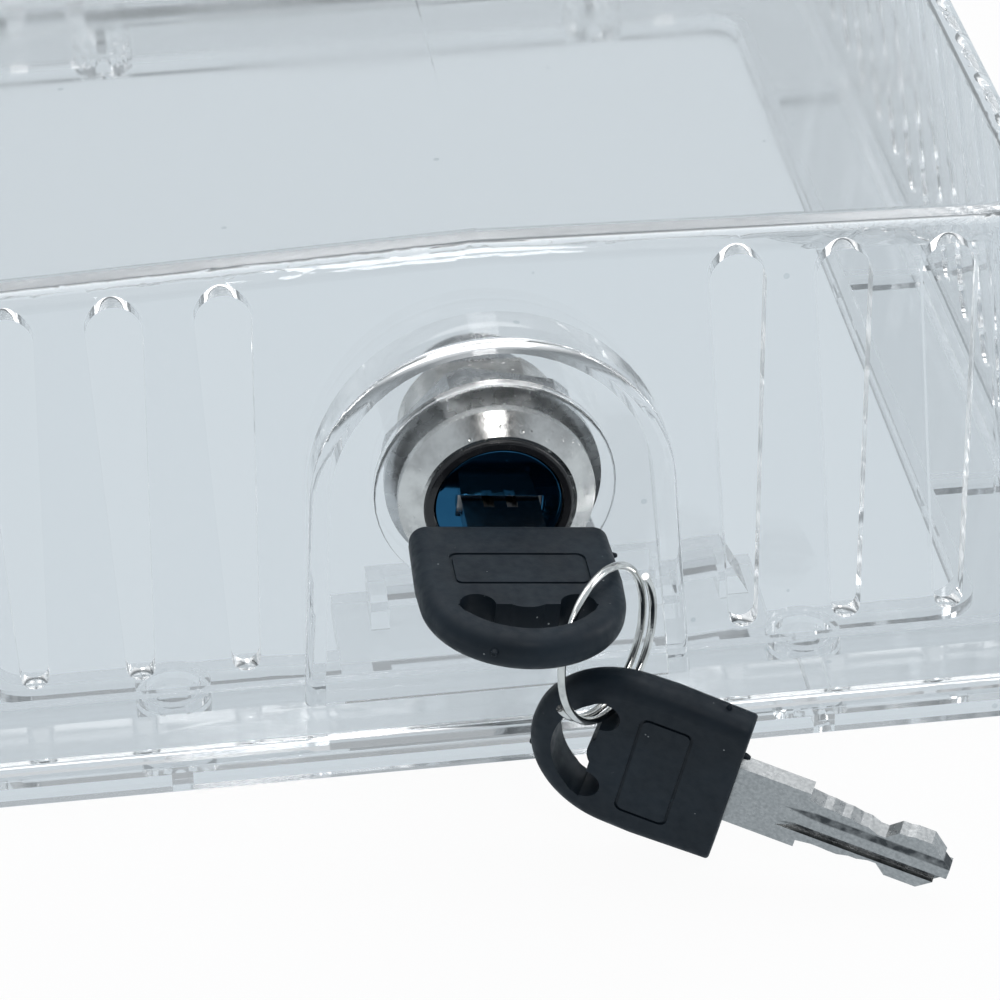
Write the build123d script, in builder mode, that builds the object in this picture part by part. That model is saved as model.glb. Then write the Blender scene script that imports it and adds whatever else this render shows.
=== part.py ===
"""Lock box for a wall thermostat: ring base, clear hinged cover, cam lock, two keys on a split ring.

Frame: X runs along the lock wall, Y from the lock wall to the hinge, Z up from the wall the box is
screwed to. The origin is the middle of the four screws, on the back of the base.
"""
import os
from math import cos, radians, sin, tan

from build123d import *

os.makedirs("parts", exist_ok=True)

# outside of the closed box
width = 158.6
length = 202.0
height = 60.0
corner_r = 20.0
ridge_fall = 0.03
draft = 7.2

# cover
wall = 2.4
flange_w = 7.1
flange_t = 2.3
foot_r = 14.0
top_r = 7.5
roof_edge_r = 3.5
flange_edge_r = 0.7

# base ring
rim_h = 3.3
seam = 0.1
rim_w = 21.7
open_x = width - 2 * rim_w
open_y = length - 2 * rim_w
open_r = 5.0
base_skin = 1.7
base_wall = 1.8
rib_t = 2.4
lip_t = 1.6
lip_h = 3.4
lip_gap = 0.4
rib_pitch = 53.0
screw_x = 37.0
screw_in = 16.2
screw_y = length / 2 - screw_in
screw_r = 2.0
boss_r = 4.4
boss_h = 1.1
seat_r = 3.3
seat_d = 1.5

# air slots, wide end up
slot_low = 10.4
slot_r_low = 1.65
slot_r_top = 3.2
slot_drop = 3.1
end_slots = (28.63, 40.63, 52.63)
side_pitch = 11.0
side_count = round((length - 48) / side_pitch)

# arched pad and collar that carry the lock
pad_set = 6.2
pad_front = pad_set - length / 2
pad_foot = 22.3
arch_r = 20.7
arch_z = 31.0
pad_edge_r = 1.0
collar_r = 13.6
collar_h = 1.2
collar_front = pad_front - collar_h
collar_edge_r = 0.4

# lock, turned a little with the key
lock_z = 33.3
key_roll = 6.0
barrel_r = 9.4
barrel_flat = 8.05
barrel_rear = collar_front + 16.0
seat_gap = 0.05
bezel_r = 11.05
bezel_rim = 1.15
bezel_back = collar_front - seat_gap
bezel_front = collar_front - 3.0
bezel_r_front = 8.75
trim_r = 8.35
trim_in_r = 7.3
trim_front = bezel_front - 0.4
trim_back = bezel_front + 1.2
head_r = 7.22
head_back = bezel_front + 2.0
cap_front = bezel_front - 0.1
cap_t = 0.7
cap_slot_gap = 0.8
plug_r = 6.0
turn_fit = 0.05
press_fit = 0.02
nut_flats = 22.0
nut_t = 3.6
nut_washer_r = 12.2
nut_washer_t = 1.0

# cam stack behind the barrel
tang = 6.0
stop_t = 1.0
stop_r = 8.2
stop_notch_w = 9.0
stop_notch_d = 1.5
stop_gap = 0.05
cam_t = 2.0
cam_hub_r = 8.0
cam_reach = 29.3
cam_w = 8.0
cam_turn = 25.0
cam_bend_r = 1.4
foot_len = 5.4
spring_washer_t = 0.8
spring_washer_r = 4.6
screw_head_r = 4.0
screw_head_h = 2.4
screw_thread_r = 1.9
screw_thread_l = 4.0
cross_l = 4.4
cross_w = 0.9
cross_d = 1.3

# catch on the base
catch_left = -13.0
catch_right = 29.8
catch_front = barrel_rear + 4.2
catch_back = catch_front + 6.5
catch_web = 1.6
catch_leg = 2.2
catch_top = 8.2
catch_roof = 1.7
gap_left = 5.5
gap_right = 21.0
gusset = 2.6
tongue_edge = 1.5

# snap hinge on the far edge
hinge_out = 4.0
hinge_y = length / 2 + hinge_out
hinge_z = 4.5
hinge_x = 45.0
hinge_eye_r = 3.0
hinge_arm = 6.0
hinge_ear = 2.6
hinge_gap = 0.3
pin_r = 1.6
snap_mouth = 2.6

# keys
bow_w = 22.5
bow_l = 23.1
bow_t = 4.2
bow_edge_r = 1.8
bow_side_r = 4.0
bow_side_y = -9.1
bow_shoulder = 21.6
bow_end_r = 11.1
shoulder_edge_r = 0.4
panel_l = 14.9
panel_w = 6.1
panel_y = -8.65
groove_w = 0.35
groove_d = 0.25
lobe_x = 5.4
lobe_y = -15.7
lobe_r = 1.95
smile_r = 8.46
smile_y = -11.9
bump_r = 3.1
bump_y = -13.2
blade_t = 2.0
blade_w = 7.2
blade_l = 25.0
neck_w = 8.7
neck_l = 8.25
tip_w = 1.4
tip_run = 2.8
tang_l = 7.0
tang_w = 7.0
ward_w = 1.2
ward_d = 0.55
ward_x = (1.2, -1.4)
ward_start = 5.6
ward_ramp = 2.4
first_cut = 10.4
cut_pitch = 2.15
cut_flat = 0.9
cuts_right = (0.5, 0.7, 1.0, 1.6, 0.2)
cuts_left = (0.6, 0.5, 0.9, 1.3, 0.0)
key_shoulder = cap_front - 7.6
keyway_gap = 0.12

# wafers in the plug
wafer_count = 5
wafer_t = 1.0
wafer_w = 6.0
wafer_l = 10.3
wafer_gap = 0.05
wafer_spring = 1.2

# split ring: one and a half turns of round wire
ring_r = 8.6
wire_r = 0.45
ring_pitch = 1.32
ring_turns = 1.51
ring_start = 35.0
ring_centre = (8.64, key_shoulder - 12.58, 27.43)
ring_axis = (0.755, -0.656, 0.026)

# spare key, hung on the ring with its tip near the table
spare_centre = (21.94, key_shoulder - 17.74, 10.5)
spare_across = (0.184, -0.238, 0.954)
spare_towards_tip = (0.89, -0.371, -0.264)

foot_x = width / 2 - flange_w
foot_y = length / 2 - flange_w
flange_low = rim_h + seam
flange_z = flange_low + flange_t
level_wall = wall / cos(radians(draft))
pad_inner = pad_front + wall
washer_front = pad_inner + seat_gap
nut_front = washer_front + nut_washer_t


def lean(z):
    """How far the drafted walls have come in at this height above the flange."""
    return (z - flange_z) * tan(radians(draft))


def tapered_block(inset, low, roof, edge_r):
    """The drafted box under its shallow ridged roof, all walls moved in by the inset."""
    with BuildPart() as block:
        for z, radius in ((low, foot_r), (height + 4, top_r)):
            with BuildSketch(Plane.XY.offset(z)):
                across = 2 * (foot_x - inset - lean(z))
                along = 2 * (foot_y - inset - lean(z))
                RectangleRounded(across, along, radius - inset)
        loft(ruled=True)
        with BuildSketch(Plane.XZ):
            eave = roof - ridge_fall * width
            Polygon((-width, 0), (width, 0), (width, eave), (0, roof), (-width, eave), align=None)
        extrude(amount=length, both=True, mode=Mode.INTERSECT)
        rim = block.edges().filter_by(lambda e: e.center().Z > roof - 5 and abs(e.tangent_at(0.5).Z) < 0.3)
        rim = rim.filter_by(lambda e: abs(e.center().X) > 1 or abs(e.center().Y) > 10)
        fillet(rim, edge_r)
    return block.part


def facing(y, turn=0.0):
    """A plane across the lock axis, seen from the key side, turned clockwise by the given angle."""
    along = (cos(radians(turn)), 0, -sin(radians(turn)))
    return Plane(origin=(0, y, lock_z), x_dir=along, z_dir=(0, -1, 0))


with BuildSketch() as side_slot:
    with Locations((0, slot_low + slot_r_low)):
        Circle(slot_r_low)
    with Locations((0, height - ridge_fall * foot_x - slot_drop - slot_r_top)):
        Circle(slot_r_top)
    make_hull()

# the drafted shell before its openings
outer_block = tapered_block(0, flange_low, height, roof_edge_r)
cavity_block = tapered_block(level_wall, rim_h - 1, height - wall, roof_edge_r - wall + 0.6)

with BuildPart() as lock_pad:
    with BuildSketch(Plane(origin=(0, pad_front + 9, 0), x_dir=(1, 0, 0), z_dir=(0, -1, 0))):
        with Locations((0, arch_z)):
            Circle(arch_r)
        with Locations((0, flange_low + flange_t / 2)):
            Rectangle(2 * pad_foot, flange_t)
        make_hull()
    extrude(amount=9)
    front_edges = lock_pad.edges().group_by(Axis.Y)[0]
    fillet(front_edges.filter_by(lambda e: e.center().Z > flange_low + 0.5), pad_edge_r)
    with BuildSketch(facing(pad_front + 1)):
        Circle(collar_r)
    extrude(amount=collar_h + 1)
    fillet(lock_pad.edges().group_by(Axis.Y)[0], collar_edge_r)

with BuildPart() as pad_hollow:
    with BuildSketch(Plane(origin=(0, pad_inner, 0), x_dir=(1, 0, 0), z_dir=(0, -1, 0))):
        with Locations((0, arch_z)):
            Circle(arch_r - wall)
        with Locations((0, rim_h)):
            Rectangle(2 * (pad_foot - wall), 2 * flange_t)
        make_hull()
    extrude(amount=-12)

with BuildPart() as cover_shell:
    with BuildSketch(Plane.XY.offset(flange_low)):
        RectangleRounded(width, length, corner_r)
    extrude(amount=flange_t)
    fillet(cover_shell.edges().group_by(Axis.Z)[-1], flange_edge_r)
    add(outer_block)
    add(lock_pad.part)
    add(cavity_block, mode=Mode.SUBTRACT)
    add(pad_hollow.part, mode=Mode.SUBTRACT)
    with BuildSketch(facing(pad_front - 3)):
        Circle(barrel_r + turn_fit)
        Rectangle(40, 2 * (barrel_flat + turn_fit), mode=Mode.INTERSECT)
    extrude(amount=-12, mode=Mode.SUBTRACT)
    for x in end_slots:
        for side in (-1, 1):
            with BuildSketch(Plane.XZ):
                with Locations((side * x, slot_low + slot_r_low)):
                    Circle(slot_r_low)
                with Locations((side * x, height - ridge_fall * x - slot_drop - slot_r_top)):
                    Circle(slot_r_top)
                make_hull()
            extrude(amount=length, both=True, mode=Mode.SUBTRACT)
    with BuildSketch(Plane.YZ):
        with GridLocations(side_pitch, 1, side_count, 1):
            add(side_slot.sketch)
    extrude(amount=width, both=True, mode=Mode.SUBTRACT)
    # hinge arms with their moulded pins
    for x in (-hinge_x, hinge_x):
        with BuildSketch(Plane.YZ.offset(x)):
            with Locations((hinge_y, hinge_z)):
                Circle(hinge_eye_r)
            with Locations(((length / 2 - 1 + hinge_y) / 2, flange_low + flange_t / 2)):
                Rectangle(hinge_y - length / 2 + 1, flange_t)
        extrude(amount=hinge_arm / 2, both=True)
        with BuildSketch(Plane.YZ.offset(x)):
            with Locations((hinge_y, hinge_z)):
                Circle(pin_r)
        extrude(amount=hinge_arm / 2 + hinge_gap + hinge_ear, both=True)
cover_shell.part.label = "cover_shell"
export_step(cover_shell.part, "parts/cover_shell.step")

lip_x = foot_x - lean(rim_h + lip_h) - level_wall - lip_gap
lip_y = foot_y - lean(rim_h + lip_h) - level_wall - lip_gap
lip_r = foot_r - level_wall - lip_gap

with BuildPart() as base_ring:
    with BuildSketch():
        RectangleRounded(width, length, corner_r)
        RectangleRounded(open_x, open_y, open_r, mode=Mode.SUBTRACT)
    extrude(amount=rim_h)
    with BuildSketch():
        with Locations(((catch_left + catch_right) / 2, (catch_back + tongue_edge - open_y / 2) / 2)):
            tongue_x = catch_right - catch_left + 2 * (gusset + tongue_edge)
            Rectangle(tongue_x, catch_back + tongue_edge + open_y / 2 + 1)
    extrude(amount=rim_h)
    # locating lip just inside the cover
    with BuildSketch(Plane.XY.offset(rim_h)):
        RectangleRounded(2 * lip_x, 2 * lip_y, lip_r)
        RectangleRounded(2 * (lip_x - lip_t), 2 * (lip_y - lip_t), lip_r - lip_t, mode=Mode.SUBTRACT)
    extrude(amount=lip_h)
    # channel under the ring, with ribs across it
    with BuildSketch():
        RectangleRounded(width - 2 * base_wall, length - 2 * base_wall, corner_r - base_wall)
        RectangleRounded(open_x + 2 * base_wall, open_y + 2 * base_wall, open_r, mode=Mode.SUBTRACT)
        with GridLocations(2 * screw_x, 1, 2, 1):
            Rectangle(rib_t, length, mode=Mode.SUBTRACT)
        with GridLocations(1, rib_pitch, 1, 3):
            Rectangle(width, rib_t, mode=Mode.SUBTRACT)
        with GridLocations(2 * screw_x, 2 * screw_y, 2, 2):
            Circle(boss_r, mode=Mode.SUBTRACT)
    extrude(amount=rim_h - base_skin, mode=Mode.SUBTRACT)
    # screw bosses
    with BuildSketch(Plane.XY.offset(rim_h)):
        with GridLocations(2 * screw_x, 2 * screw_y, 2, 2):
            Circle(boss_r)
    extrude(amount=boss_h)
    with GridLocations(2 * screw_x, 2 * screw_y, 2, 2):
        with Locations((0, 0, rim_h + boss_h)):
            CounterBoreHole(screw_r, seat_r, seat_d, depth=rim_h + boss_h)
    # catch: a web with a roofed pocket at the left and a window frame at the right
    with BuildSketch(Plane(origin=(0, catch_back, 0), x_dir=(1, 0, 0), z_dir=(0, -1, 0))):
        Polygon(
            (catch_left, 1),
            (catch_right + gusset, 1),
            (catch_right + gusset, rim_h),
            (catch_right, catch_top),
            (catch_left, catch_top),
            align=None,
        )
    extrude(amount=catch_back - catch_front)
    with BuildSketch(Plane(origin=(0, catch_front - 1, 0), x_dir=(1, 0, 0), z_dir=(0, -1, 0))):
        pocket_z = (rim_h + catch_top - catch_roof) / 2
        pocket_h = catch_top - catch_roof - rim_h
        for left, right in ((catch_left + catch_leg, gap_left), (gap_right + catch_leg, catch_right - catch_leg / 2)):
            with Locations(((left + right) / 2, pocket_z)):
                Rectangle(right - left, pocket_h)
        with Locations(((gap_left + gap_right) / 2, rim_h + 5)):
            Rectangle(gap_right - gap_left, 10)
    extrude(amount=-(catch_back - catch_web - catch_front + 1), mode=Mode.SUBTRACT)
    # hinge ears, each with a snap mouth
    for x in (-hinge_x, hinge_x):
        for side in (-1, 1):
            with BuildSketch(Plane.YZ.offset(x + side * (hinge_arm / 2 + hinge_gap + hinge_ear / 2))):
                with Locations((hinge_y, hinge_z)):
                    Circle(hinge_eye_r)
                with Locations((length / 2, 1.1)):
                    Rectangle(0.2, 2.2)
                make_hull()
                with Locations((hinge_y, hinge_z)):
                    Circle(pin_r + turn_fit, mode=Mode.SUBTRACT)
                with Locations((hinge_y, hinge_z + hinge_eye_r)):
                    Rectangle(snap_mouth, 2 * hinge_eye_r, mode=Mode.SUBTRACT)
            extrude(amount=hinge_ear / 2, both=True)
base_ring.part.label = "base_ring"
export_step(base_ring.part, "parts/base_ring.step")

# lock housing with its cone bezel, turned about the lock axis
lock_axis = Axis((0, 0, lock_z), (0, 1, 0))
with BuildPart() as lock_barrel:
    with BuildSketch(Plane(origin=(0, 0, lock_z), x_dir=(0, 1, 0), z_dir=(1, 0, 0))):
        Polygon(
            (bezel_back, plug_r + turn_fit),
            (barrel_rear, plug_r + turn_fit),
            (barrel_rear, barrel_r),
            (bezel_back, barrel_r),
            (bezel_back, bezel_r),
            (bezel_back - bezel_rim, bezel_r),
            (bezel_front, bezel_r_front),
            (bezel_front, trim_r + press_fit),
            (trim_back, trim_r + press_fit),
            (trim_back, head_r + turn_fit),
            (head_back, head_r + turn_fit),
            (head_back, plug_r + turn_fit),
            align=None,
        )
    revolve(axis=lock_axis)
    with BuildSketch(facing(barrel_rear)):
        Circle(barrel_r + 1)
        Rectangle(40, 2 * barrel_flat, mode=Mode.SUBTRACT)
    extrude(amount=barrel_rear - bezel_back, mode=Mode.SUBTRACT)
lock_barrel.part.label = "lock_barrel"
export_step(lock_barrel.part, "parts/lock_barrel.step")

with BuildPart() as lock_trim_ring:
    with BuildSketch(facing(trim_back)):
        Circle(trim_r)
        Circle(trim_in_r, mode=Mode.SUBTRACT)
    extrude(amount=trim_back - trim_front)
    fillet(lock_trim_ring.edges().group_by(Axis.Y)[0].sort_by(SortBy.RADIUS)[-1], 0.4)
lock_trim_ring.part.label = "lock_trim_ring"
export_step(lock_trim_ring.part, "parts/lock_trim_ring.step")

with BuildPart() as nut_washer:
    with BuildSketch(facing(washer_front)):
        Circle(nut_washer_r)
        Circle(barrel_r + turn_fit, mode=Mode.SUBTRACT)
    extrude(amount=-nut_washer_t)
nut_washer.part.label = "nut_washer"
export_step(nut_washer.part, "parts/nut_washer.step")

with BuildPart() as lock_nut:
    with BuildSketch(facing(nut_front, 14)):
        RegularPolygon(nut_flats / 2, 6, major_radius=False)
    extrude(amount=-nut_t)
    with BuildSketch(facing(nut_front)):
        Circle(nut_flats / 2 + 1.1)
    extrude(amount=-nut_t, mode=Mode.INTERSECT)
    with BuildSketch(facing(nut_front)):
        Circle(barrel_r + turn_fit)
    extrude(amount=-nut_t, mode=Mode.SUBTRACT)
lock_nut.part.label = "lock_nut"
export_step(lock_nut.part, "parts/lock_nut.step")

# blade outline in its own frame: shoulder at the origin, blade along +Y, flat side up
with BuildPart() as blade:
    with BuildSketch(Plane.XY.offset(-blade_t / 2)):
        with Locations((0, blade_l / 2)):
            Rectangle(blade_w, blade_l)
        with Locations((0, neck_l / 2)):
            Rectangle(neck_w, neck_l)
        with Locations((0, -tang_l / 2)):
            Rectangle(tang_w, tang_l)
        for side, cuts in ((1, cuts_right), (-1, cuts_left)):
            edge = side * blade_w / 2
            outline = [(edge + side, neck_l), (edge - side * cuts[0] / 2, neck_l)]
            for i, cut in enumerate(cuts):
                y = first_cut + i * cut_pitch
                outline.append((edge - side * cut, y - cut_flat / 2))
                outline.append((edge - side * cut, y + cut_flat / 2))
            rise_end = first_cut + len(cuts) * cut_pitch - cut_flat
            outline += [(edge, rise_end), (edge + side, rise_end)]
            Polygon(*outline, align=None, mode=Mode.SUBTRACT)
            Polygon(
                (side * tip_w / 2, blade_l + 0.01),
                (edge + side, blade_l + 0.01),
                (edge + side, blade_l - tip_run),
                (edge, blade_l - tip_run),
                align=None,
                mode=Mode.SUBTRACT,
            )
    extrude(amount=blade_t)
    # warding grooves, each with the ramp the cutter leaves where it enters
    for x, face in ((ward_x[0], 1), (ward_x[1], -1), (ward_x[1], 1)):
        with BuildSketch(Plane.YZ.offset(x)):
            Polygon(
                (ward_start, face * blade_t / 2),
                (ward_start + ward_ramp, face * (blade_t / 2 - ward_d)),
                (blade_l + 0.1, face * (blade_t / 2 - ward_d)),
                (blade_l + 0.1, face * blade_t / 2),
                align=None,
            )
        extrude(amount=ward_w / 2, both=True, mode=Mode.SUBTRACT)

# plastic bow over the tang: straight shoulders, round end, smiling hole
with BuildPart() as bow:
    with BuildSketch(Plane.XY.offset(-bow_t / 2)):
        for side in (-1, 1):
            with Locations((side * (bow_w / 2 - bow_side_r), bow_side_y)):
                Circle(bow_side_r)
        with Locations((0, bow_end_r - bow_l)):
            Circle(bow_end_r)
        with Locations((0, bow_edge_r)):
            Rectangle(bow_shoulder, 2 * bow_edge_r)
        make_hull()
    extrude(amount=bow_t)
    fillet(bow.faces().filter_by(Axis.Z).edges(), bow_edge_r)
    with Locations((0, bow_l / 2, 0)):
        Box(2 * bow_w, bow_l, 2 * bow_t, mode=Mode.SUBTRACT)
    fillet(bow.edges().group_by(Axis.Y)[-1], shoulder_edge_r)
    with BuildSketch(Plane.XY.offset(-bow_t / 2)):
        with Locations((0, smile_y)):
            Circle(smile_r)
        with Locations((0, lobe_y + bow_l / 2)):
            Rectangle(2 * bow_w, bow_l, mode=Mode.SUBTRACT)
        with Locations((-lobe_x, lobe_y), (lobe_x, lobe_y)):
            Circle(lobe_r)
        with Locations((0, bump_y)):
            Circle(bump_r, mode=Mode.SUBTRACT)
    extrude(amount=bow_t, mode=Mode.SUBTRACT)
    for z in (bow_t / 2, -bow_t / 2 + groove_d):
        with BuildSketch(Plane.XY.offset(z)):
            with Locations((0, panel_y)):
                RectangleRounded(panel_l, panel_w, 1.0)
                RectangleRounded(panel_l - 2 * groove_w, panel_w - 2 * groove_w, 0.7, mode=Mode.SUBTRACT)
        extrude(amount=-groove_d, mode=Mode.SUBTRACT)
    with Locations((0, -tang_l / 2, 0)):
        Box(tang_w, tang_l, blade_t, mode=Mode.SUBTRACT)

key_side = (cos(radians(key_roll)), 0, -sin(radians(key_roll)))
key_up = (sin(radians(key_roll)), 0, cos(radians(key_roll)))
key_place = Plane(origin=(0, key_shoulder, lock_z), x_dir=key_side, z_dir=key_up)
side_v = Vector(*spare_across)
spare_up = side_v.cross(Vector(*spare_towards_tip))
spare_place = Plane(origin=spare_centre, x_dir=side_v, z_dir=spare_up)

with BuildPart() as key_blade:
    with Locations(key_place):
        add(blade.part)
key_blade.part.label = "key_blade"
export_step(key_blade.part, "parts/key_blade.step")

with BuildPart() as key_bow:
    with Locations(key_place):
        add(bow.part)
key_bow.part.label = "key_bow"
export_step(key_bow.part, "parts/key_bow.step")

with BuildPart() as spare_key_blade:
    with Locations(spare_place):
        add(blade.part)
spare_key_blade.part.label = "spare_key_blade"
export_step(spare_key_blade.part, "parts/spare_key_blade.step")

with BuildPart() as spare_key_bow:
    with Locations(spare_place):
        add(bow.part)
spare_key_bow.part.label = "spare_key_bow"
export_step(spare_key_bow.part, "parts/spare_key_bow.step")

# keyway section with its two wards, used through cap and plug
with BuildSketch() as keyway:
    Rectangle(blade_w + 2 * keyway_gap, blade_t + 2 * keyway_gap)
    with Locations((ward_x[0], (blade_t + ward_d) / 2)):
        Rectangle(ward_w - 4 * keyway_gap, 2 * ward_d - keyway_gap, mode=Mode.SUBTRACT)

with BuildPart() as plug_core:
    with BuildSketch(facing(head_back)):
        Circle(head_r)
    extrude(amount=head_back - cap_front - cap_t)
    with BuildSketch(facing(barrel_rear + stop_gap)):
        Circle(plug_r)
    extrude(amount=barrel_rear + stop_gap - head_back)
    with BuildSketch(facing(barrel_rear + stop_gap, key_roll - cam_turn)):
        Rectangle(tang, tang)
    extrude(amount=-(stop_t + cam_t))
    with BuildSketch(facing(key_shoulder, key_roll)):
        add(keyway.sketch)
    extrude(amount=-(blade_l + 0.4), mode=Mode.SUBTRACT)
    for i in range(wafer_count):
        y = key_shoulder + first_cut + i * cut_pitch
        with BuildSketch(facing(y - wafer_t / 2 - wafer_gap, key_roll)):
            Rectangle(2 * plug_r + 1, wafer_w + 2 * wafer_gap)
        extrude(amount=-(wafer_t + 2 * wafer_gap), mode=Mode.SUBTRACT)
    with BuildSketch(facing(barrel_rear + stop_gap + stop_t + cam_t)):
        Circle(screw_thread_r)
    extrude(amount=screw_thread_l, mode=Mode.SUBTRACT)
plug_core.part.label = "plug_core"
export_step(plug_core.part, "parts/plug_core.step")

with BuildPart() as plug_cap:
    with BuildSketch(facing(cap_front + cap_t)):
        Circle(head_r)
    extrude(amount=cap_t)
    fillet(plug_cap.edges().group_by(Axis.Y)[0], 0.35)
    with BuildSketch(facing(cap_front - 1, key_roll)):
        Rectangle(neck_w + cap_slot_gap, blade_t + cap_slot_gap)
    extrude(amount=-3, mode=Mode.SUBTRACT)
plug_cap.part.label = "plug_cap"
export_step(plug_cap.part, "parts/plug_cap.step")

# flat wafers on alternating sides, each window clear of the whole blade
for i in range(wafer_count):
    y = key_shoulder + first_cut + i * cut_pitch
    side = 1 if i % 2 == 0 else -1
    with BuildPart() as wafer:
        with BuildSketch(facing(y - wafer_t / 2, key_roll)):
            Circle(wafer_l / 2 + 0.6)
            Rectangle(20, wafer_w, mode=Mode.INTERSECT)
            Rectangle(blade_w + 2 * keyway_gap, blade_t + 2 * keyway_gap + 0.3, mode=Mode.SUBTRACT)
            with Locations((-side * wafer_l / 2, wafer_w / 2 - wafer_spring / 2)):
                Rectangle(1.6, wafer_spring, mode=Mode.SUBTRACT)
        extrude(amount=-wafer_t)
    wafer.part.label = f"wafer_{i + 1}"
    export_step(wafer.part, f"parts/wafer_{i + 1}.step")

# stop plate, cam with bent foot, spring washer and screw
stack = barrel_rear + stop_gap
with BuildPart() as stop_plate:
    with BuildSketch(facing(stack, key_roll - cam_turn)):
        Circle(stop_r)
        with Locations((0, -stop_r)):
            Rectangle(stop_notch_w, 2 * stop_notch_d, mode=Mode.SUBTRACT)
        Rectangle(tang, tang, mode=Mode.SUBTRACT)
    extrude(amount=-stop_t)
stop_plate.part.label = "stop_plate"
export_step(stop_plate.part, "parts/stop_plate.step")

with BuildPart() as cam:
    with BuildSketch(facing(stack + stop_t, -cam_turn)):
        Circle(cam_hub_r)
        with Locations((0, -cam_reach / 2)):
            Rectangle(cam_w, cam_reach)
        make_hull()
    extrude(amount=-cam_t)
    with BuildSketch(facing(stack + stop_t, -cam_turn)):
        with Locations((0, -cam_reach + cam_t / 2)):
            Rectangle(cam_w, cam_t)
    extrude(amount=-(cam_t + foot_len))
    fillet(cam.edges().group_by(Axis.Y)[0].sort_by(Axis.Z)[0], cam_bend_r)
    with BuildSketch(facing(stack, key_roll - cam_turn)):
        Rectangle(tang, tang)
    extrude(amount=-(stop_t + cam_t + 1), mode=Mode.SUBTRACT)
cam.part.label = "cam"
export_step(cam.part, "parts/cam.step")

screw_seat = stack + stop_t + cam_t
with BuildPart() as cam_washer:
    with BuildSketch(facing(screw_seat)):
        Circle(spring_washer_r)
        Circle(screw_thread_r + 0.1, mode=Mode.SUBTRACT)
        with Locations((0, spring_washer_r)):
            Rectangle(0.8, 2 * spring_washer_r, mode=Mode.SUBTRACT)
    extrude(amount=-spring_washer_t)
cam_washer.part.label = "cam_washer"
export_step(cam_washer.part, "parts/cam_washer.step")

with BuildPart() as cam_screw:
    with BuildSketch(facing(screw_seat + spring_washer_t)):
        Circle(screw_head_r)
    extrude(amount=-screw_head_h)
    fillet(cam_screw.edges().group_by(Axis.Y)[-1], 0.9)
    with BuildSketch(facing(screw_seat + spring_washer_t)):
        Circle(screw_thread_r)
    extrude(amount=screw_thread_l - 0.5)
    with BuildSketch(facing(screw_seat + spring_washer_t + screw_head_h, 30)):
        Rectangle(cross_l, cross_w)
        Rectangle(cross_w, cross_l)
    extrude(amount=cross_d, mode=Mode.SUBTRACT)
cam_screw.part.label = "cam_screw"
export_step(cam_screw.part, "parts/cam_screw.step")

# split ring: wound about +Z at the origin, then set on its own axis
with BuildPart() as coil:
    rise = ring_pitch * ring_turns
    with BuildLine() as coil_path:
        Helix(ring_pitch, rise, ring_r, center=(0, 0, -rise / 2))
    with BuildSketch(Plane(origin=coil_path.line @ 0, z_dir=coil_path.line % 0)):
        Circle(wire_r)
    sweep(path=coil_path.line, is_frenet=True)

ring_normal = Vector(*ring_axis)
ring_right = Vector(0, 0, 1).cross(ring_normal).normalized()
ring_top = ring_normal.cross(ring_right).normalized()
start = ring_right * cos(radians(ring_start)) + ring_top * sin(radians(ring_start))
with BuildPart() as split_ring:
    with Locations(Plane(origin=ring_centre, x_dir=start, z_dir=ring_normal * -1)):
        add(coil.part)
split_ring.part.label = "split_ring"
export_step(split_ring.part, "parts/split_ring.step")
print("split ring least gap to itself", round(ring_pitch - 2 * wire_r, 3), "mm")
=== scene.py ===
"""Lock box for a wall thermostat, dressed for a picture.

Clear moulded cover and base, satin nickel cam lock, two keys with black bows on a split ring.
Metres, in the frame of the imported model.
"""
import math

import bpy
from mathutils import Matrix, Vector


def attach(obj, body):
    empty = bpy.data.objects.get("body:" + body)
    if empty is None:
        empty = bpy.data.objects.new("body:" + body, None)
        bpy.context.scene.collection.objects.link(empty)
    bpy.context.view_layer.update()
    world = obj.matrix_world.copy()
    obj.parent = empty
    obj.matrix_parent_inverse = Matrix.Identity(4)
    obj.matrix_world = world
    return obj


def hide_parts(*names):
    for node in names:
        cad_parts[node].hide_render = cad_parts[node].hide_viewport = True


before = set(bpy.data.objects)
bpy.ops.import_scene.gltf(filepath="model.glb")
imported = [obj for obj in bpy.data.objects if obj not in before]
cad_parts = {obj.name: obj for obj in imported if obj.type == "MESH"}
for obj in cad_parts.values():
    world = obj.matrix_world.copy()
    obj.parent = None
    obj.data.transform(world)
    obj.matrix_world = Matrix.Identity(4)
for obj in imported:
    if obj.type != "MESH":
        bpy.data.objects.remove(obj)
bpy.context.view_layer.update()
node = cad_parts

# Lengths with names in capitals are in millimetres, and MM brings them to metres.
MM = 0.001
LOCK_Z = 33.3  # height of the lock's axis over the wall
KEY_SHOULDER_Y = -106.7
KEY_ROLL = math.radians(6.0)  # the key in the lock stands a little off level


# ---------------------------------------------------------------- materials
# sockets of the Mix node for colours
MIX_SHARE, MIX_FIRST, MIX_SECOND = 0, 6, 7
MIX_COLOUR = 2


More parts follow.
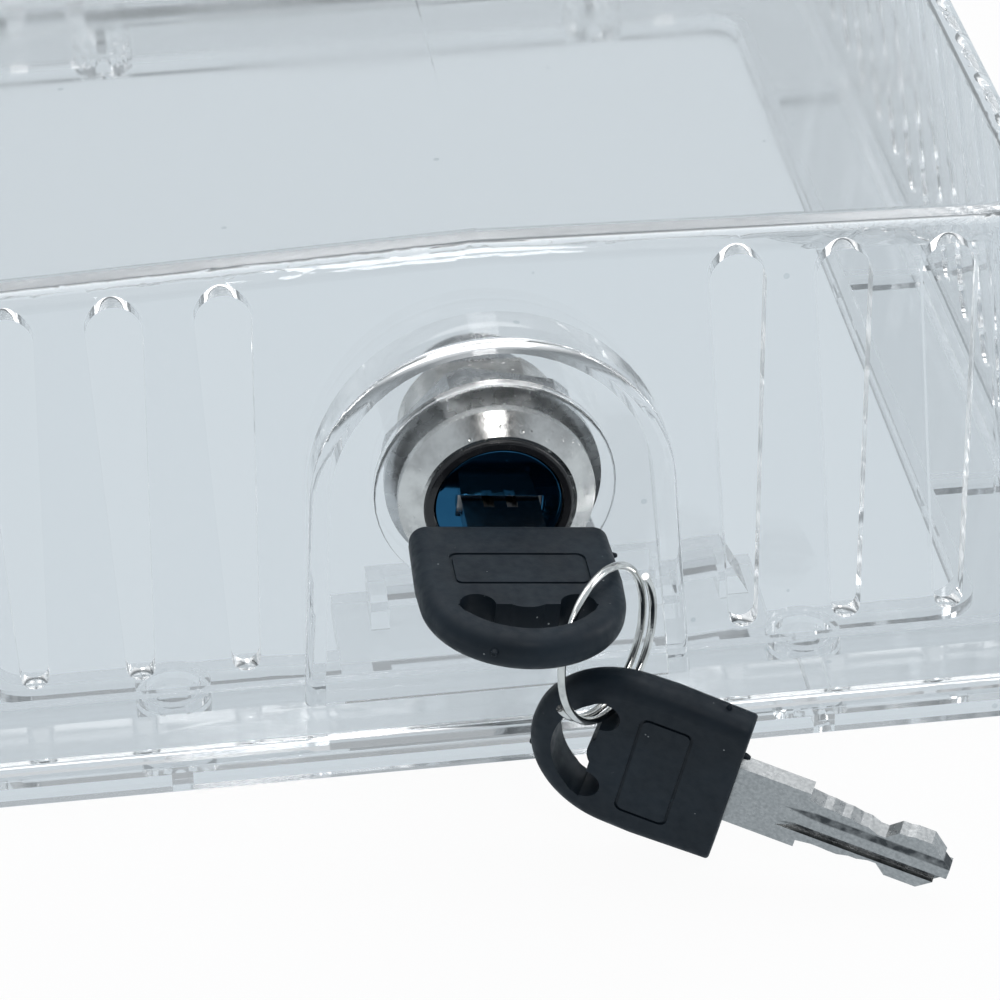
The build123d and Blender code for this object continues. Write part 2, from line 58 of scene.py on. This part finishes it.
class Finish:
    """A material and the few node moves that every finish here needs."""

    def __init__(self, name, colour, rough, metal=0.0):
        self.mat = bpy.data.materials.new(name)
        self.mat.use_nodes = True
        self.tree = self.mat.node_tree
        self.shader = self.tree.nodes["Principled BSDF"]
        self.out = self.tree.nodes["Material Output"]
        self.set("Base Color", (*colour, 1))
        self.set("Roughness", rough)
        self.set("Metallic", metal)
        self.where = self.add("ShaderNodeTexCoord").outputs["Object"]

    def add(self, kind, **values):
        made = self.tree.nodes.new(kind)
        for key, value in values.items():
            setattr(made, key, value)
        return made

    def join(self, source, target):
        self.tree.links.new(source, target)

    def set(self, socket, value):
        self.shader.inputs[socket].default_value = value

    def noise(self, scale, detail=3.0):
        made = self.add("ShaderNodeTexNoise")
        made.inputs["Scale"].default_value = scale
        made.inputs["Detail"].default_value = detail
        self.join(self.where, made.inputs["Vector"])
        return made.outputs["Fac"]

    def cells(self, scale):
        made = self.add("ShaderNodeTexVoronoi")
        made.inputs["Scale"].default_value = scale
        self.join(self.where, made.inputs["Vector"])
        return made.outputs["Distance"]

    def ramp(self, source, *stops):
        """Stops are (place, value) or (place, colour)."""
        made = self.add("ShaderNodeValToRGB")
        ramp = made.color_ramp
        while len(ramp.elements) < len(stops):
            ramp.elements.new(0.5)
        for element, (place, value) in zip(ramp.elements, stops):
            element.position = place
            colour = value if isinstance(value, tuple) else (value, value, value)
            element.color = (*colour, 1)
        self.join(source, made.inputs["Fac"])
        return made.outputs["Color"]

    def blend(self, share, first, second, how="MIX"):
        made = self.add("ShaderNodeMix", data_type="RGBA", blend_type=how)
        for place, value in ((MIX_SHARE, share), (MIX_FIRST, first), (MIX_SECOND, second)):
            if isinstance(value, (int, float)):
                made.inputs[place].default_value = value
            elif isinstance(value, tuple):
                made.inputs[place].default_value = (*value, 1)
            else:
                self.join(value, made.inputs[place])
        return made.outputs[MIX_COLOUR]

    def calc(self, operation, first, second=None):
        """A Math node; each value is a socket or a number."""
        made = self.add("ShaderNodeMath", operation=operation)
        for place, value in enumerate((first, second)):
            if isinstance(value, (int, float)):
                made.inputs[place].default_value = value
            elif value is not None:
                self.join(value, made.inputs[place])
        return made.outputs[0]

    def map_range(self, source, **ends):
        made = self.add("ShaderNodeMapRange")
        for name, value in ends.items():
            made.inputs[name.replace("_", " ").title()].default_value = value
        self.join(source, made.inputs["Value"])
        return made.outputs["Result"]

    def bump(self, height, strength, distance, under=None):
        """Distance is in metres; a bump under this one is added to it."""
        made = self.add("ShaderNodeBump")
        made.inputs["Strength"].default_value = strength
        made.inputs["Distance"].default_value = distance
        self.join(height, made.inputs["Height"])
        if under is not None:
            self.join(under, made.inputs["Normal"])
        self.join(made.outputs["Normal"], self.shader.inputs["Normal"])
        return made.outputs["Normal"]

    def drive(self, source, socket):
        self.join(source, self.shader.inputs[socket])


def clear_plastic(name, tint):
    """Clear moulded plastic: faint flow waves, specks of dust and places worn a little dull."""
    f = Finish(name, tint, 0.03)
    f.set("Transmission Weight", 1.0)
    f.set("IOR", 1.5)
    specks = f.ramp(f.cells(160.0), (0.0, 1.0), (0.05, 1.0), (0.065, 0.0))
    some = f.ramp(f.noise(60.0), (0.55, 0.0), (0.6, 1.0))
    dust = f.blend(1.0, specks, some, "MULTIPLY")
    f.drive(f.blend(dust, tint, (0.7, 0.74, 0.76)), "Base Color")
    wear = f.ramp(f.noise(35.0, 4.0), (0.4, 0.02), (0.75, 0.07))
    f.drive(wear, "Roughness")
    f.bump(f.noise(28.0, 1.0), 0.05, 0.6 * MM)
    # lamps shine through it, so that what lies inside the box is lit
    passing = f.add("ShaderNodeBsdfTransparent")
    passing.inputs["Color"].default_value = (0.93, 0.95, 0.96, 1)
    mix = f.add("ShaderNodeMixShader")
    path = f.add("ShaderNodeLightPath")
    f.join(path.outputs["Is Shadow Ray"], mix.inputs["Fac"])
    f.join(f.shader.outputs["BSDF"], mix.inputs[1])
    f.join(passing.outputs["BSDF"], mix.inputs[2])
    f.join(mix.outputs["Shader"], f.out.inputs["Surface"])
    return f.mat


def plated(name, colour, rough, grain, pits=0.0):
    """Plated or bare metal: cloudy tone, grain and small pits."""
    f = Finish(name, colour, rough, 1.0)
    cloud = f.noise(grain * 0.35, 5.0)
    dark = tuple(c * 0.72 for c in colour)
    pale = tuple(min(1.0, c * 1.12) for c in colour)
    f.drive(f.ramp(cloud, (0.3, dark), (0.55, colour), (0.8, pale)), "Base Color")
    gloss = f.ramp(f.noise(grain, 6.0), (0.3, rough * 0.75), (0.75, rough * 1.5))
    f.drive(gloss, "Roughness")
    under = f.bump(f.noise(grain * 2.5, 8.0), 0.25, 0.04 * MM)
    if pits:
        holes = f.ramp(f.cells(pits), (0.0, 0.0), (0.12, 0.2), (0.2, 1.0))
        f.bump(holes, 0.5, 0.05 * MM, under)
    return f.mat


def bow_plastic(name):
    """Black nylon with a fine eroded grain, a little paler where hands have rubbed it."""
    f = Finish(name, (0.008, 0.009, 0.011), 0.5)
    f.set("Specular IOR Level", 0.27)
    deep, rubbed = (0.004, 0.009, 0.015), (0.009, 0.017, 0.026)
    rub = f.ramp(f.noise(140.0, 4.0), (0.35, deep), (0.7, rubbed))
    specks = f.ramp(f.cells(900.0), (0.0, 1.0), (0.08, 1.0), (0.1, 0.0))
    few = f.ramp(f.noise(420.0, 2.0), (0.6, 0.0), (0.64, 1.0))
    dust = f.blend(1.0, specks, few, "MULTIPLY")
    f.drive(f.blend(dust, rub, (0.3, 0.32, 0.33)), "Base Color")
    f.drive(f.ramp(f.noise(900.0, 5.0), (0.3, 0.4), (0.7, 0.62)), "Roughness")
    f.bump(f.noise(3800.0, 3.0), 0.35, 0.03 * MM)
    return f.mat


GROOVES_X = (1.2, -1.4)  # the milled grooves, across the blade from its middle
GROOVE_START, GROOVE_FULL = 5.4, 9.5  # along the blade from its shoulder
GROOVE_SHADE_HALF_WIDTH = 0.66  # half the width of the painted shade streak in a groove at its widest
GROOVE_SHADE_EDGE = 0.22


def blade_metal(name, origin, side, along, rough):
    """Nickel on a milled blade: fine speckle, and painted shade in the grooves, a dark streak
    for the dark that they reflect.
    """
    dull, plain, bright = (0.37, 0.375, 0.375), (0.45, 0.455, 0.455), (0.54, 0.54, 0.535)
    f = Finish(name, plain, rough, 1.0)
    fine = f.noise(2600.0, 4.0)
    tone = f.ramp(fine, (0.3, dull), (0.5, plain), (0.72, bright))
    places = []
    for direction in (side, along):
        dot = f.add("ShaderNodeVectorMath", operation="DOT_PRODUCT")
        dot.inputs[1].default_value = direction
        f.join(f.where, dot.inputs[0])
        places.append(f.calc("SUBTRACT", dot.outputs["Value"], direction.dot(origin) * MM))
    across, down = places
    groove_shade_sides = []
    for groove in GROOVES_X:
        away = f.calc("ABSOLUTE", f.calc("SUBTRACT", across, groove * MM))
        # the painted shade streak widens from a point where the cutter ran in
        reach = f.map_range(
            down,
            from_min=GROOVE_START * MM,
            from_max=GROOVE_FULL * MM,
            to_min=0.0,
            to_max=GROOVE_SHADE_HALF_WIDTH * MM,
        )
        inside = f.calc("SUBTRACT", reach, away)
        groove_shade_sides.append(f.map_range(inside, from_min=0.0, from_max=GROOVE_SHADE_EDGE * MM))
    groove_shade = f.calc("MAXIMUM", *groove_shade_sides)
    groove_shade_streaks = f.ramp(f.noise(700.0, 3.0), (0.35, 0.45), (0.6, 0.95))
    share = f.calc("MULTIPLY", groove_shade, groove_shade_streaks)
    # painted shade: the groove streaks darken the blade's colour to near black
    f.drive(f.blend(share, tone, (0.045, 0.05, 0.055)), "Base Color")
    f.drive(f.ramp(f.noise(1800.0, 5.0), (0.3, rough * 0.8), (0.7, rough * 1.4)), "Roughness")
    under = f.bump(fine, rough, 0.03 * MM)
    f.bump(f.noise(5200.0, 2.0), rough, 0.02 * MM, under)
    return f.mat


def dress(name, material):
    for slot in node[name].material_slots:
        slot.material = material


CLEAR_TINT = (0.978, 0.981, 0.984)
base_plastic = clear_plastic("clear_base_plastic", CLEAR_TINT)
cover_plastic = clear_plastic("clear_cover_plastic", CLEAR_TINT)
nickel = plated("satin_nickel_plate", (0.74, 0.73, 0.71), 0.2, 900.0, pits=800.0)
zinc = plated("bright_zinc_plate", (0.66, 0.67, 0.68), 0.24, 700.0)
die_cast = plated("die_cast_zinc", (0.5, 0.5, 0.51), 0.38, 600.0, pits=1200.0)
brass = plated("stamped_brass", (0.8, 0.6, 0.3), 0.25, 700.0)

# how each key lies: its shoulder, across the blade, along it to the tip, and up off its flat
key_shoulder = Vector((0, KEY_SHOULDER_Y, LOCK_Z))
key_side = Vector((math.cos(KEY_ROLL), 0, -math.sin(KEY_ROLL)))
key_along = Vector((0, 1, 0))
key_face = Vector((math.sin(KEY_ROLL), 0, math.cos(KEY_ROLL)))
spare_shoulder = Vector((21.94, -124.44, 10.5))
spare_side = Vector((0.184, -0.238, 0.954)).normalized()
spare_face = spare_side.cross(Vector((0.89, -0.371, -0.264))).normalized()
spare_along = spare_face.cross(spare_side)
key_nickel = blade_metal("milled_key_nickel", key_shoulder, key_side, key_along, 0.12)
spare_nickel = blade_metal("milled_spare_nickel", spare_shoulder, spare_side, spare_along, 0.3)
ring_nickel = plated("bright_ring_wire", (0.76, 0.755, 0.73), 0.12, 1500.0)
black_nylon = bow_plastic("black_bow_nylon")

trim = Finish("black_trim_gloss", (0.012, 0.012, 0.014), 0.18)
trim.drive(trim.ramp(trim.noise(900.0, 5.0), (0.35, 0.14), (0.7, 0.3)), "Roughness")
trim.bump(trim.noise(1600.0, 4.0), 0.2, 0.03 * MM)

cap = Finish("dark_blue_cap_chrome", (0.02, 0.10, 0.20), 0.05, 1.0)
cap.drive(cap.ramp(cap.noise(500.0, 4.0), (0.3, 0.04), (0.75, 0.1)), "Roughness")
cap_tones = ((0.3, (0.018, 0.09, 0.18)), (0.7, (0.024, 0.11, 0.21)))
cap.drive(cap.ramp(cap.noise(260.0, 3.0), *cap_tones), "Base Color")

for name, material in (
    ("base_ring", base_plastic),
    ("cover_shell", cover_plastic),
    ("lock_barrel", nickel),
    ("lock_trim_ring", trim.mat),
    ("nut_washer", zinc),
    ("lock_nut", zinc),
    ("plug_core", die_cast),
    ("plug_cap", cap.mat),
    ("wafer_1", brass),
    ("wafer_2", brass),
    ("wafer_3", brass),
    ("wafer_4", brass),
    ("wafer_5", brass),
    ("stop_plate", zinc),
    ("cam", zinc),
    ("cam_washer", zinc),
    ("cam_screw", zinc),
    ("key_blade", key_nickel),
    ("spare_key_blade", spare_nickel),
    ("key_bow", black_nylon),
    ("spare_key_bow", black_nylon),
    ("split_ring", ring_nickel),
):
    dress(name, material)


# ---------------------------------------------------------------- pieces made here
CAP_FRONT = -99.1
CAP_BACK = -98.4
CAP_RADIUS = 7.22
CAP_FLAT = 0.97  # the flat front's share of the cap's radius
DOME_RINGS = (6.6, 6.0, 5.2, 4.4, 3.4, 2.2, 1.0)
DOME_RADIUS = 7.0
DOME_RISE = 0.2
SLOT = (9.4, 2.2, 2.7)  # the block that cuts the key slot: across, deep, high
SLOT_MIDDLE_Y = -98.2
LIP_RISE = 0.5
LIP_FLARE = (1.11, 1, 1.38)


def spot(x, y, z):
    return (x * MM, y * MM, z * MM)


def start_piece(name):
    """Names the new primitive and puts its place into its mesh."""
    piece = bpy.context.object
    piece.name = name
    piece.data.name = name
    bpy.ops.object.transform_apply(location=True, rotation=True, scale=True)
    return piece


def pick_faces(piece, test):
    """Selects the faces whose middle and normal pass the test, in edit mode."""
    bpy.ops.object.mode_set(mode="EDIT")
    bpy.ops.mesh.select_mode(type="FACE")
    bpy.ops.mesh.select_all(action="DESELECT")
    bpy.ops.object.mode_set(mode="OBJECT")
    for face in piece.data.polygons:
        face.select = test(face.center / MM, face.normal)
    bpy.ops.object.mode_set(mode="EDIT")


def apply_modifier(piece, kind, **values):
    made = piece.modifiers.new(kind.lower(), kind)
    for key, value in values.items():
        setattr(made, key, value)
    bpy.ops.object.modifier_apply(modifier=made.name)


def finish_piece(piece, material, body, replaced=(), angle=35.0):
    bpy.ops.object.mode_set(mode="OBJECT")
    bpy.ops.object.select_all(action="DESELECT")
    piece.select_set(True)
    bpy.context.view_layer.objects.active = piece
    bpy.ops.object.shade_smooth_by_angle(angle=math.radians(angle))
    piece.data.materials.clear()
    piece.data.materials.append(material)
    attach(piece, body)
    if replaced:
        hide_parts(*replaced)


def make_plug_cap():
    """A pressed cap, slightly domed, with softened edges and a key slot with chamfered lips."""
    bpy.ops.object.select_all(action="DESELECT")
    bpy.ops.mesh.primitive_cylinder_add(
        vertices=128,
        radius=CAP_RADIUS * MM,
        depth=(CAP_BACK - CAP_FRONT) * MM,
        location=spot(0, (CAP_FRONT + CAP_BACK) / 2, LOCK_Z),
        rotation=(math.radians(90), 0, 0),
    )
    cap_piece = start_piece("domed_plug_cap")
    pick_faces(cap_piece, lambda at, normal: normal.y < -0.9)
    bpy.ops.transform.resize(value=(CAP_FLAT, 1, CAP_FLAT))
    radius = CAP_RADIUS * CAP_FLAT
    rise = 0.0
    for ring in DOME_RINGS:
        bpy.ops.mesh.inset(thickness=(radius - ring) * MM)
        height = DOME_RISE * (1 - (ring / DOME_RADIUS) ** 2)
        bpy.ops.transform.translate(value=(0, -(height - rise) * MM, 0))
        radius, rise = ring, height
    bpy.ops.object.mode_set(mode="OBJECT")
    # the slot is cut by a block with a flared front
    bpy.ops.object.select_all(action="DESELECT")
    bpy.ops.mesh.primitive_cube_add(
        size=1.0,
        location=spot(0, SLOT_MIDDLE_Y, LOCK_Z),
        rotation=(0, KEY_ROLL, 0),
        scale=spot(*SLOT),
    )
    cutter = start_piece("slot_cutter")
    pick_faces(cutter, lambda at, normal: normal.y < -0.9)
    bpy.ops.mesh.extrude_region_move(TRANSFORM_OT_translate={"value": (0, -LIP_RISE * MM, 0)})
    bpy.ops.transform.resize(value=LIP_FLARE)
    bpy.ops.object.mode_set(mode="OBJECT")
    bpy.ops.object.select_all(action="DESELECT")
    cap_piece.select_set(True)
    bpy.context.view_layer.objects.active = cap_piece
    apply_modifier(cap_piece, "BOOLEAN", object=cutter, operation="DIFFERENCE", solver="EXACT")
    bpy.data.objects.remove(cutter)
    cap_edge = math.radians(38)
    apply_modifier(cap_piece, "BEVEL", width=0.05 * MM, segments=2, angle_limit=cap_edge)
    finish_piece(cap_piece, cap.mat, "plug", ("plug_cap",), 28.0)


def make_gate_nub(name, body, place, out, width, height):
    """The torn stub that the runner leaves on a moulded bow."""
    bpy.ops.object.select_all(action="DESELECT")
    turn = out.to_track_quat("Z", "Y").to_euler()
    bpy.ops.mesh.primitive_cylinder_add(
        vertices=14,
        radius=width / 2 * MM,
        depth=0.5 * MM,
        location=place * MM,
        rotation=turn,
    )
    nub = start_piece(name)
    pick_faces(nub, lambda at, normal: normal.dot(out) > 0.9)
    half_up = tuple(out * height * 0.5 * MM)
    for narrower in ((0.8, 0.8, 0.8), (0.55, 0.7, 0.6)):
        bpy.ops.mesh.extrude_region_move(TRANSFORM_OT_translate={"value": half_up})
        bpy.ops.transform.resize(value=narrower)
    bpy.ops.mesh.inset(thickness=0.1 * width * MM)
    bpy.ops.transform.translate(value=tuple(out * -0.3 * height * MM))
    bpy.ops.object.mode_set(mode="OBJECT")
    apply_modifier(nub, "BEVEL", width=0.04 * MM, segments=2, angle_limit=math.radians(30))
    finish_piece(nub, black_nylon, body)


def make_gate_nubs():
    for key, shoulder, side, along, face in (
        ("key", key_shoulder, key_side, key_along, key_face),
        ("spare_key", spare_shoulder, spare_side, spare_along, spare_face),
    ):
        round_out = (-0.4 * side - along).normalized()
        for name, place, out, width, height in (
            ("_end_nub", (-4.25, -22.05, 0.3), round_out, 0.9, 0.5),
            ("_side_nub", (10.9, -3.2, 0.3), side, 0.7, 0.45),
            ("_root_nub", (4.3, -0.1, 0.9), along, 0.9, 0.6),
        ):
            at = shoulder + place[0] * side + place[1] * along + place[2] * face
            make_gate_nub(key + name, key, at, out, width, height)


make_plug_cap()
make_gate_nubs()


# ---------------------------------------------------------------- camera
# the eye of the photograph, fitted to the slots, the bezel and the base rim
EYE = (-45.37, -495.94, 283.38)
AZIMUTH, ELEVATION, ROLL = (math.radians(a) for a in (-6.54, 31.98, 1.43))
FOCAL_PIXELS, PICTURE_PIXELS = 4265.0, 1000.0
SENSOR = 36.0


def put_camera():
    """At the eye of the photograph: over the lock wall, a little from the left."""
    back = Vector((
        math.sin(AZIMUTH) * math.cos(ELEVATION),
        -math.cos(AZIMUTH) * math.cos(ELEVATION),
        math.sin(ELEVATION),
    ))
    level = (-back).cross(Vector((0, 0, 1))).normalized()
    rise = level.cross(-back)
    right = math.cos(ROLL) * level - math.sin(ROLL) * rise
    up = math.sin(ROLL) * level + math.cos(ROLL) * rise
    data = bpy.data.cameras.new("camera")
    data.sensor_width = SENSOR
    data.lens = SENSOR * FOCAL_PIXELS / PICTURE_PIXELS
    data.clip_start = 0.01
    camera = bpy.data.objects.new("camera", data)
    bpy.context.scene.collection.objects.link(camera)
    turn = Matrix((right, up, back)).transposed().to_4x4()
    camera.matrix_world = Matrix.Translation(Vector(EYE) * MM) @ turn
    bpy.context.scene.camera = camera


# ---------------------------------------------------------------- floor, world and lamps
# painted shade and tint: the blue-grey that the floor shows under the box and through the clear
# plastic
SHADE_AND_TINT_GREY = (0.615, 0.68, 0.725)
WHITE = (1.0, 1.0, 1.0)
# the box's outline on the floor: half its width and length, and its corner radius
BOX_HALF = (78.8, 100.5)
BOX_CORNER = 19.5
FLOOR_GLOW = 0.95


def put_floor():
    """A pale floor: white by itself, and painted blue-grey under the box and through clear
    plastic, as painted shade and tint of the box.
    """
    bpy.ops.object.select_all(action="DESELECT")
    bpy.ops.mesh.primitive_plane_add(size=6.0, location=(0, 0, -0.4 * MM))
    floor = bpy.context.object
    floor.name = "floor"
    f = Finish("pale_floor", (0.8, 0.82, 0.84), 0.7)
    last = f.where
    for move, value in (
        ("ABSOLUTE", None),
        ("SUBTRACT", (*((half - BOX_CORNER) * MM for half in BOX_HALF), 1.0)),
        ("MAXIMUM", (0.0, 0.0, 0.0)),
        ("LENGTH", None),
    ):
        step = f.add("ShaderNodeVectorMath", operation=move)
        f.join(last, step.inputs[0])
        if value is not None:
            step.inputs[1].default_value = value
        last = step.outputs["Value" if move == "LENGTH" else "Vector"]
    # painted shade: inside the box's outline the floor is blue-grey for camera rays
    painted_shade_under_box = f.calc("LESS_THAN", last, BOX_CORNER * MM)
    path = f.add("ShaderNodeLightPath")
    direct = f.blend(painted_shade_under_box, WHITE, SHADE_AND_TINT_GREY)
    glow = f.add("ShaderNodeEmission")
    f.join(f.blend(path.outputs["Is Camera Ray"], SHADE_AND_TINT_GREY, direct), glow.inputs["Color"])
    seen = f.calc("MAXIMUM", path.outputs["Is Camera Ray"], path.outputs["Is Glossy Ray"])
    seen = f.calc("MAXIMUM", seen, path.outputs["Is Transmission Ray"])
    mix = f.add("ShaderNodeMixShader")
    f.join(f.calc("MULTIPLY", seen, FLOOR_GLOW), mix.inputs["Fac"])
    f.join(f.shader.outputs["BSDF"], mix.inputs[1])
    f.join(glow.outputs["Emission"], mix.inputs[2])
    f.join(mix.outputs["Shader"], f.out.inputs["Surface"])
    floor.data.materials.append(f.mat)


# the room that metal mirrors, by how near a direction is to its dim corner
NEAR_CORNER = Vector((0.08, -0.86, 0.50)).normalized()
FAR_WALL = (0.9, 0.95, 0.98)
SIDE_WALL = (0.48, 0.53, 0.57)
DIM_CORNER = (0.03, 0.033, 0.036)
# the room that clear edges bend the eye to, by height
LOW_ROOM = (0.17, 0.19, 0.2)
MID_ROOM = (0.14, 0.155, 0.165)
CEILING = (0.9, 0.93, 0.95)


def put_world():
    world = bpy.data.worlds.new("studio")
    bpy.context.scene.world = world
    world.use_nodes = True
    tree = world.node_tree

    def ramp(source, *stops):
        made = tree.nodes.new("ShaderNodeValToRGB")
        elements = made.color_ramp.elements
        while len(elements) < len(stops):
            elements.new(0.5)
        for element, (place, colour) in zip(elements, stops):
            element.position = place
            element.color = (*colour, 1)
        tree.links.new(source, made.inputs["Fac"])
        return made.outputs["Color"]

    soft = tree.nodes["Background"]
    soft.inputs["Color"].default_value = (0.72, 0.78, 0.83, 1)
    soft.inputs["Strength"].default_value = 0.5
    view = tree.nodes.new("ShaderNodeTexCoord").outputs["Generated"]
    near = tree.nodes.new("ShaderNodeVectorMath")
    near.operation = "DOT_PRODUCT"
    near.inputs[1].default_value = NEAR_CORNER
    tree.links.new(view, near.inputs[0])
    # from -1 to 1 brought to 0 to 1, which is what a ramp reads
    half = tree.nodes.new("ShaderNodeMath")
    half.operation = "MULTIPLY_ADD"
    half.inputs[1].default_value = 0.5
    half.inputs[2].default_value = 0.5
    tree.links.new(near.outputs["Value"], half.inputs[0])
    mirrored = ramp(
        half.outputs[0],
        (0.3, FAR_WALL),
        (0.42, SIDE_WALL),
        (0.93, SIDE_WALL),
        (0.975, DIM_CORNER),
    )
    height = tree.nodes.new("ShaderNodeSeparateXYZ")
    tree.links.new(view, height.inputs["Vector"])
    # transmission rays that go downwards see the same painted shade-and-tint grey as the floor
    refracted = ramp(
        height.outputs["Z"],
        (0.02, SHADE_AND_TINT_GREY),
        (0.12, LOW_ROOM),
        (0.5, MID_ROOM),
        (0.75, CEILING),
        (1.0, CEILING),
    )
    path = tree.nodes.new("ShaderNodeLightPath")
    last = soft.outputs["Background"]
    for ray, colour in (
        ("Is Glossy Ray", mirrored),
        ("Is Transmission Ray", refracted),
        ("Is Camera Ray", WHITE),
    ):
        shown = tree.nodes.new("ShaderNodeBackground")
        if isinstance(colour, tuple):
            shown.inputs["Color"].default_value = (*colour, 1)
        else:
            tree.links.new(colour, shown.inputs["Color"])
        mix = tree.nodes.new("ShaderNodeMixShader")
        tree.links.new(path.outputs[ray], mix.inputs["Fac"])
        tree.links.new(last, mix.inputs[1])
        tree.links.new(shown.outputs["Background"], mix.inputs[2])
        last = mix.outputs["Shader"]
    tree.links.new(last, tree.nodes["World Output"].inputs["Surface"])


def lamp(name, place, aim, across, along, power):
    """A soft white panel; places and sizes are in metres, power in watts."""
    data = bpy.data.lights.new(name, "AREA")
    data.shape = "RECTANGLE"
    data.size = across
    data.size_y = along
    data.energy = power
    made = bpy.data.objects.new(name, data)
    bpy.context.scene.collection.objects.link(made)
    made.location = place
    made.rotation_euler = (Vector(aim) - Vector(place)).to_track_quat("-Z", "Y").to_euler()


bpy.context.scene.view_settings.view_transform = "Standard"
# light runs on and on inside clear walls, and a low limit shows as black slot ends
cycles = bpy.context.scene.cycles
cycles.max_bounces = 128
cycles.transmission_bounces = 128
cycles.glossy_bounces = 128
cycles.transparent_max_bounces = 24

put_camera()
put_floor()
put_world()
lamp("top_softbox", (-0.05, 0.15, 0.9), (0, -0.02, 0), 1.3, 0.9, 4.4)
lamp("over_camera", (0.08, -0.80, 0.82), (0, -0.1, 0.03), 0.16, 0.3, 1.5)
lamp("right_edge", (0.8, -0.1, 0.35), (0, -0.05, 0.03), 0.2, 0.5, 1.4)
